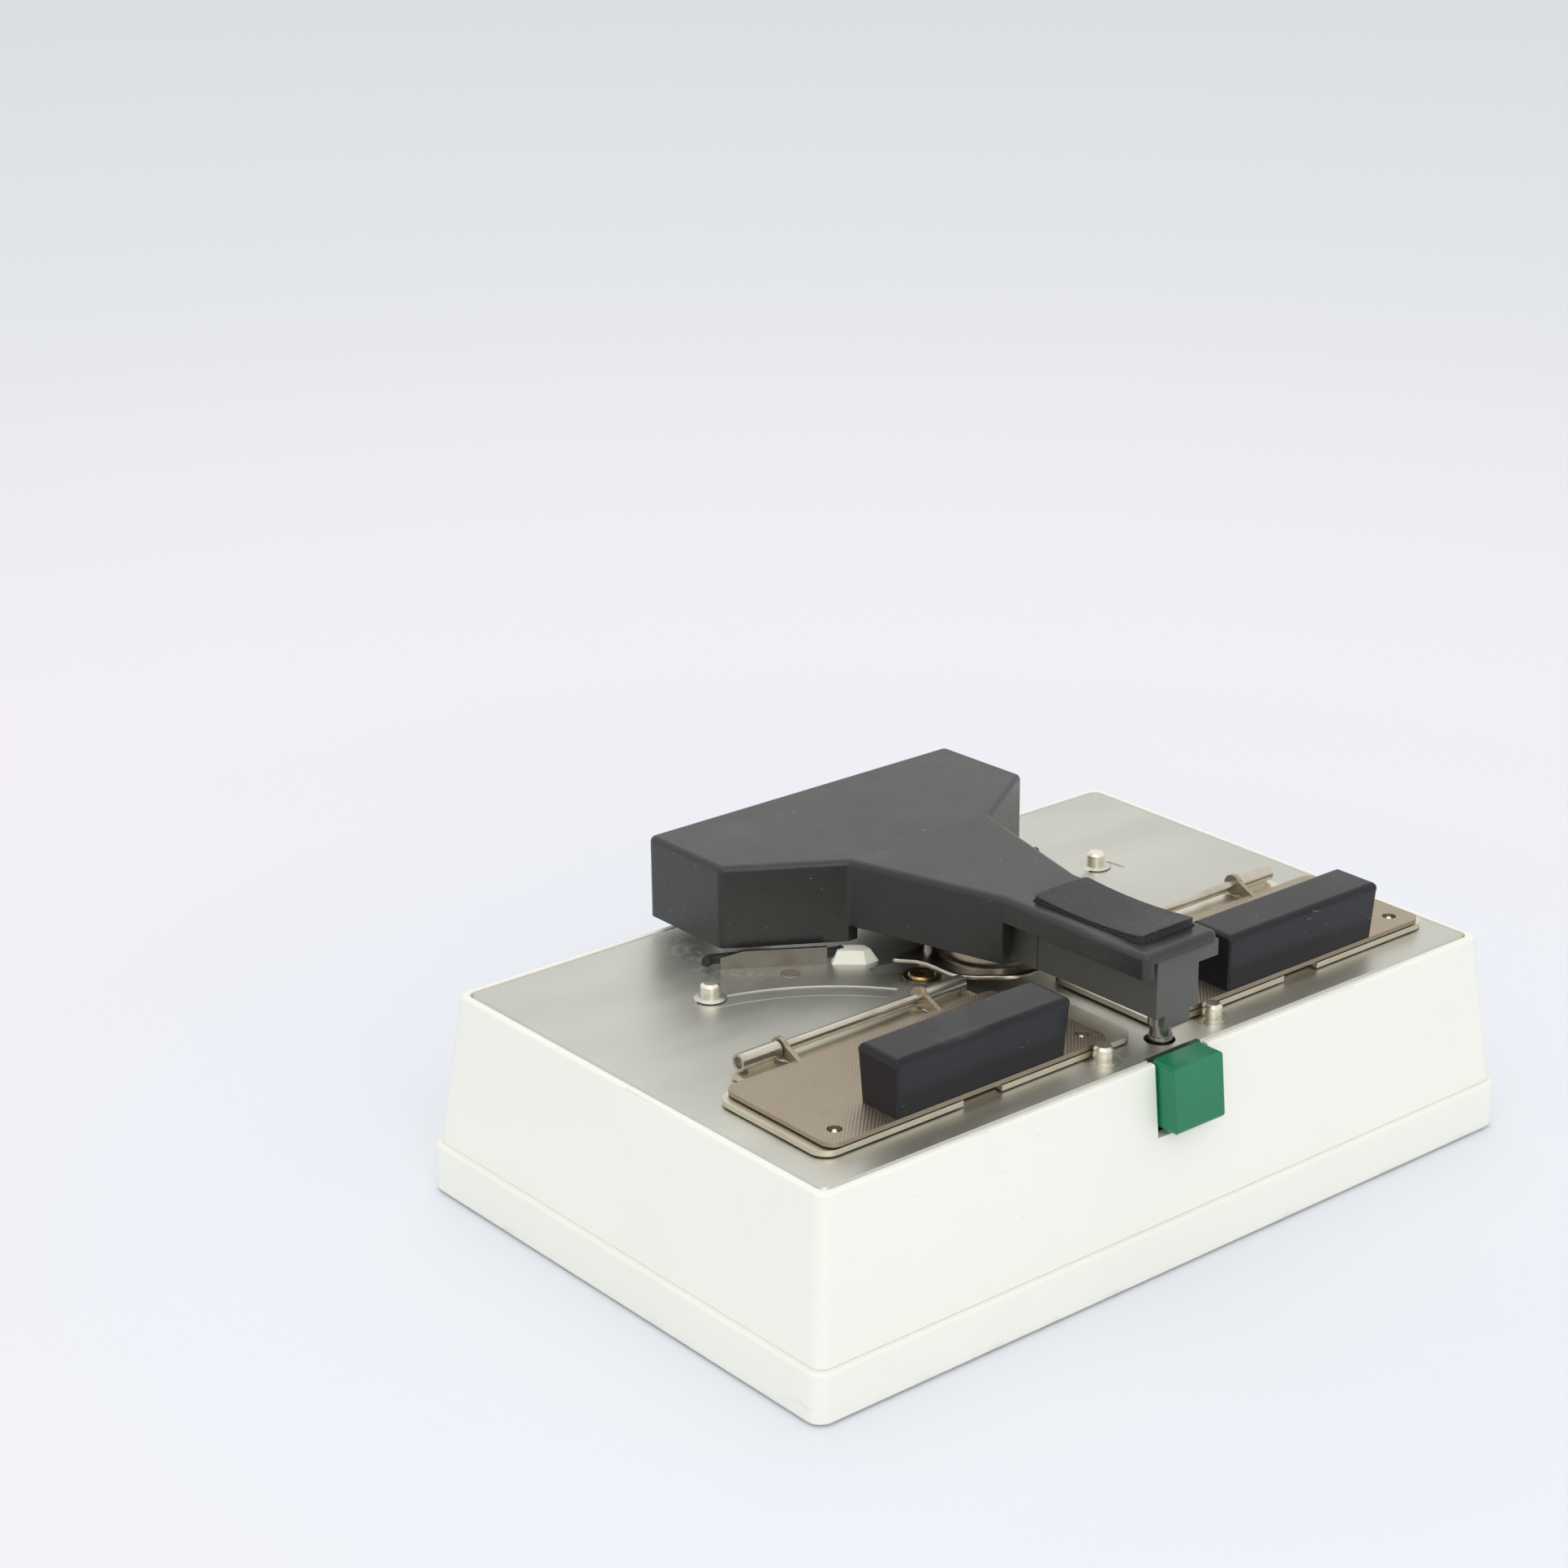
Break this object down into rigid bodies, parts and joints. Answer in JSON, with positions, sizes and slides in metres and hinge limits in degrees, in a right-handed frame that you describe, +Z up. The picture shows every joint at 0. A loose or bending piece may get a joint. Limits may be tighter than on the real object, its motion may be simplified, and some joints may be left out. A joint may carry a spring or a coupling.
{
  "type": "film splicer",
  "caption": "Motor-driven film splicer: white sloped case, steel deck, two swinging film holders with hinged clamps and black handles, and a hinged black grinding head with a thumb pad.",
  "frame": {"origin": "centre of the base plan on the table surface, under the feet", "axes": "X runs to the right along the front face, Y to the back, Z up; the green key is on the front, -Y"},
  "size_m": [0.18, 0.1172, 0.0643],
  "materials": {
    "case_plastic": "satin",
    "door_plastic": "satin",
    "deck_aluminium": "satin",
    "head_plastic": "fine-grained gloss",
    "inner_plastic": "matte",
    "pad_rubber": "textured",
    "feet_rubber": "matte",
    "handle_plastic": "gloss",
    "plate_steel": "dimpled nickel plate",
    "rod_steel": "nickel plate",
    "pin_steel": "polished",
    "wall_steel": "polished",
    "wedge_plastic": "satin",
    "rivet_metal": "satin",
    "bush_brass": "turned",
    "washer_steel": "satin",
    "inner_steel": "satin",
    "screw_steel": "zinc plate",
    "tray_plastic": "matte",
    "switch_plastic": "gloss",
    "cell_jacket": "gloss",
    "contact_metal": "nickel plate",
    "key_plastic": "lightly textured",
    "motor_steel": "zinc plate",
    "disc_grit": "abrasive",
    "drive_rubber": "matte"
  },
  "bodies": {
    "case": {"base_pan": "case_plastic", "upper_case": "case_plastic", "deck_plate": "deck_aluminium", "stop_pins": "pin_steel", "holder_pivot_studs": "pin_steel", "mechanism_plate": "inner_steel", "deck_rivets": "rivet_metal", "drive_bushes": "bush_brass", "bush_washers": "washer_steel", "head_hinge_bracket": "inner_steel", "bracket_screws": "screw_steel", "head_hinge_pin": "inner_steel", "rubber_feet": "feet_rubber", "case_screws": "screw_steel", "battery_tray": "tray_plastic", "battery_cells": "cell_jacket", "battery_contacts": "contact_metal", "switch_bracket": "inner_steel", "micro_switch": "tray_plastic", "latch_guide": "inner_steel", "left_guide_wall": "wall_steel", "right_guide_wall": "wall_steel", "left_film_wedge": "wedge_plastic", "right_film_wedge": "wedge_plastic"},
    "battery_door": {"battery_door": "door_plastic"},
    "key": {"green_key": "key_plastic", "latch_plate": "inner_steel"},
    "switch_button": {"switch_button": "switch_plastic"},
    "head": {"head_cover": "head_plastic", "head_chassis": "inner_plastic", "thumb_pad": "pad_rubber", "plunger": "pin_steel", "head_screws": "screw_steel", "drive_motor": "motor_steel", "motor_posts": "inner_steel", "spindle_bearing": "bush_brass", "idler_stud": "inner_steel", "leaf_guard": "wall_steel"},
    "disc": {"disc_spindle": "motor_steel", "grinding_disc": "disc_grit", "friction_wheel": "drive_rubber"},
    "idler": {"idler_wheel": "drive_rubber"},
    "roller": {"motor_roller": "drive_rubber"},
    "left_holder": {"left_lower_plate": "plate_steel", "left_hinge_sleeves": "rod_steel", "left_register_pins": "pin_steel"},
    "right_holder": {"right_lower_plate": "plate_steel", "right_hinge_sleeves": "rod_steel", "right_register_pins": "pin_steel"},
    "left_clamp": {"left_upper_plate": "plate_steel", "left_hinge_rod": "rod_steel", "left_handle": "handle_plastic", "left_handle_screws": "screw_steel"},
    "right_clamp": {"right_upper_plate": "plate_steel", "right_hinge_rod": "rod_steel", "right_handle": "handle_plastic", "right_handle_screws": "screw_steel"}
  },
  "joints": [
    {"name": "head_hinge", "type": "hinge", "parent": "case", "child": "head", "pos_m": [0.0018, 0.048, 0.055], "axis": [-1, 0, 0], "range_deg": [0, 70]},
    {"name": "grinding_disc_spin", "type": "hinge", "parent": "head", "child": "disc", "pos_m": [0.0018, -0.00106, 0.05065], "axis": [0, 0.0133, 0.9999], "continuous": true},
    {"name": "idler_spin", "type": "hinge", "parent": "head", "child": "idler", "pos_m": [0.0018, 0.0146, 0.05494], "axis": [0, 0.0133, 0.9999], "continuous": true},
    {"name": "motor_roller_spin", "type": "hinge", "parent": "head", "child": "roller", "pos_m": [0.0018, 0.0238, 0.05482], "axis": [0, 0.0133, 0.9999], "continuous": true},
    {"name": "left_holder_swing", "type": "hinge", "parent": "case", "child": "left_holder", "pos_m": [-0.0607, -0.0295, 0.0425], "axis": [0, 0, 1], "range_deg": [0, 50]},
    {"name": "right_holder_swing", "type": "hinge", "parent": "case", "child": "right_holder", "pos_m": [0.0643, -0.0295, 0.0425], "axis": [0, 0, -1], "range_deg": [0, 50]},
    {"name": "left_clamp_open", "type": "hinge", "parent": "left_holder", "child": "left_clamp", "pos_m": [-0.0411, -0.0098, 0.04485], "axis": [-1, 0, 0], "range_deg": [0, 85]},
    {"name": "right_clamp_open", "type": "hinge", "parent": "right_holder", "child": "right_clamp", "pos_m": [0.0447, -0.0098, 0.04485], "axis": [-1, 0, 0], "range_deg": [0, 85]},
    {"name": "key_press", "type": "slide", "parent": "case", "child": "key", "axis": [0, 1, 0], "range_m": [0, 0.0015], "stiffness_N_per_m": 800, "springref_m": -0.001},
    {"name": "switch_press", "type": "slide", "parent": "case", "child": "switch_button", "axis": [0, 0, -1], "range_m": [0, 0.0008], "stiffness_N_per_m": 500, "springref_m": -0.0005},
    {"name": "battery_door_slide", "type": "slide", "parent": "case", "child": "battery_door", "axis": [1, 0, 0], "range_m": [0, 0.012]}
  ],
  "couplings": [
    {"joint": "idler_spin", "follows": "grinding_disc_spin", "ratio": -1.3906},
    {"joint": "motor_roller_spin", "follows": "grinding_disc_spin", "ratio": 3.56}
  ]
}
